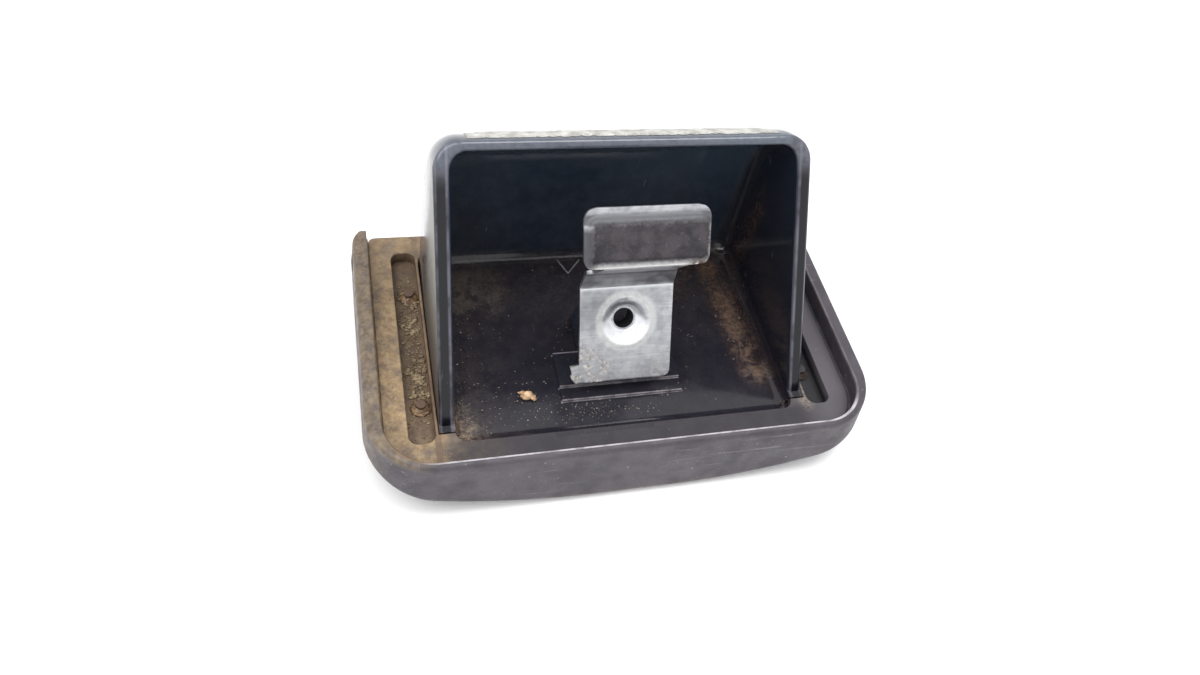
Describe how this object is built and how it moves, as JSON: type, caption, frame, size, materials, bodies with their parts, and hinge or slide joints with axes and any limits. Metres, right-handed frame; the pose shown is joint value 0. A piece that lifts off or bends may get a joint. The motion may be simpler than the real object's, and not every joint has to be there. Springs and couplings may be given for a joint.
{
  "type": "door ashtray insert",
  "caption": "Tilt-out ashtray insert for a car's rear door: crowned trim face with a rim, glossy bin with a slanted mouth, and a sprung metal stubber plate.",
  "frame": {"origin": "on the resting surface under the middle of the bounding box, with the part lying on its decorative face", "axes": "+X along the long side, +Z out of the back of the panel towards the bin's open end, -Y towards the edge that is uppermost in the car"},
  "size_m": [0.1104, 0.0658, 0.0577],
  "materials": {
    "cover_plastic": "matte, fine grain, dusty",
    "frame_plastic": "matte, dusty in the pockets",
    "bin_resin": "glossy black thermoset, stained inside",
    "stubber_steel": "zinc plated, burnt in the dish",
    "rivet_steel": "bright plated",
    "nut_steel": "dull, rusty brown",
    "felt": "worn light grey felt"
  },
  "bodies": {
    "tray": {"front_cover": "cover_plastic", "carrier_frame": "frame_plastic", "ash_bin": "bin_resin", "stubber_bracket": "stubber_steel", "stubber_rivet": "rivet_steel", "rivet_washer": "rivet_steel", "push_nut_left_far": "nut_steel", "push_nut_left_near": "nut_steel", "push_nut_right_far": "nut_steel", "push_nut_right_near": "nut_steel", "rattle_strip": "felt"},
    "stubber": {"stubber_dish": "stubber_steel"}
  },
  "joints": [
    {"name": "stubber_flex", "type": "hinge", "parent": "tray", "child": "stubber", "pos_m": [0, -0.0012, 0.0317], "axis": [-1, 0, 0], "range_deg": [0, 12], "stiffness_Nm_per_rad": 1.5}
  ]
}
